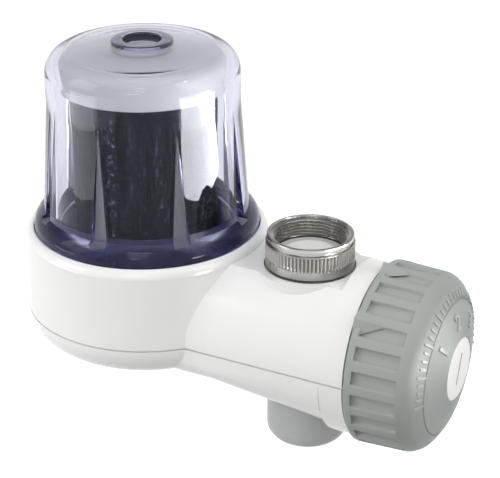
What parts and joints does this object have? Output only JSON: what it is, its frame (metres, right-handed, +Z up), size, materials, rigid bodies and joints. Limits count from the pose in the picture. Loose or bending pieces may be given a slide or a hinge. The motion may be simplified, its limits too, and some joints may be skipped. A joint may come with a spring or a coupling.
{
  "type": "faucet mount water filter",
  "caption": "Faucet-mounted water filter: clear screw-on cup over a carbon cartridge, white two-part housing, swivelling metal inlet ring, selector knob and spray outlet.",
  "frame": {"origin": "centre of the inlet's mouth, at the top face of the threaded ring that screws onto the faucet", "axes": "+Z up, out of the inlet; +X along the arm towards the selector knob; +Y completes the frame"},
  "size_m": [0.14, 0.0748, 0.1175],
  "materials": {
    "housing_white": "glossy",
    "inner_white": "satin",
    "clear_plastic": "clear with a faint blue tint",
    "cartridge_grey": "satin",
    "carbon": "porous, speckled",
    "knurled_steel": "knurled",
    "polished_steel": "polished",
    "plain_steel": "satin",
    "pale_rubber": "matt",
    "strainer_mesh": "fine mesh",
    "black_rubber": "matt",
    "knob_grey": "satin",
    "cap_white": "glossy",
    "outlet_grey": "satin"
  },
  "bodies": {
    "housing": {"upper_housing": "housing_white", "bottom_cover": "housing_white", "manifold": "inner_white", "cartridge_bottom_cap": "cartridge_grey", "carbon_block": "carbon", "core_tube": "cartridge_grey", "cartridge_top_cap": "cartridge_grey", "cartridge_seal": "black_rubber", "nut_clip": "plain_steel", "inlet_washer": "pale_rubber", "inlet_strainer": "strainer_mesh", "valve_cover": "inner_white", "cover_screws": "plain_steel", "outlet_spout": "outlet_grey", "spray_plate": "outlet_grey", "outlet_seal": "black_rubber", "housing_screws": "plain_steel"},
    "collar": {"swivel_nut": "knurled_steel", "thread_adapter": "polished_steel"},
    "selector": {"knob": "knob_grey", "knob_cap": "cap_white", "knob_screw": "plain_steel", "valve_rotor": "inner_white", "rotor_rings": "black_rubber"},
    "seal_ring": {"cup_seal": "black_rubber"},
    "cup": {"clear_cup": "clear_plastic"}
  },
  "joints": [
    {"name": "collar_spin", "type": "hinge", "parent": "housing", "child": "collar", "pos_m": [0, 0, 0], "axis": [0, 0, 1], "continuous": true},
    {"name": "knob_turn", "type": "hinge", "parent": "housing", "child": "selector", "pos_m": [0, 0, -0.033], "axis": [1, 0, 0], "range_deg": [-45, 45]},
    {"name": "cup_turn", "type": "hinge", "parent": "housing", "child": "seal_ring", "pos_m": [-0.055, 0, -0.01], "axis": [0, 0, 1], "range_deg": [0, 720]},
    {"name": "cup_lift", "type": "slide", "parent": "seal_ring", "child": "cup", "axis": [0, 0, 1], "range_m": [0, 0.006]}
  ],
  "couplings": [
    {"joint": "cup_lift", "follows": "cup_turn", "m_per_rad": 0.00047746}
  ]
}
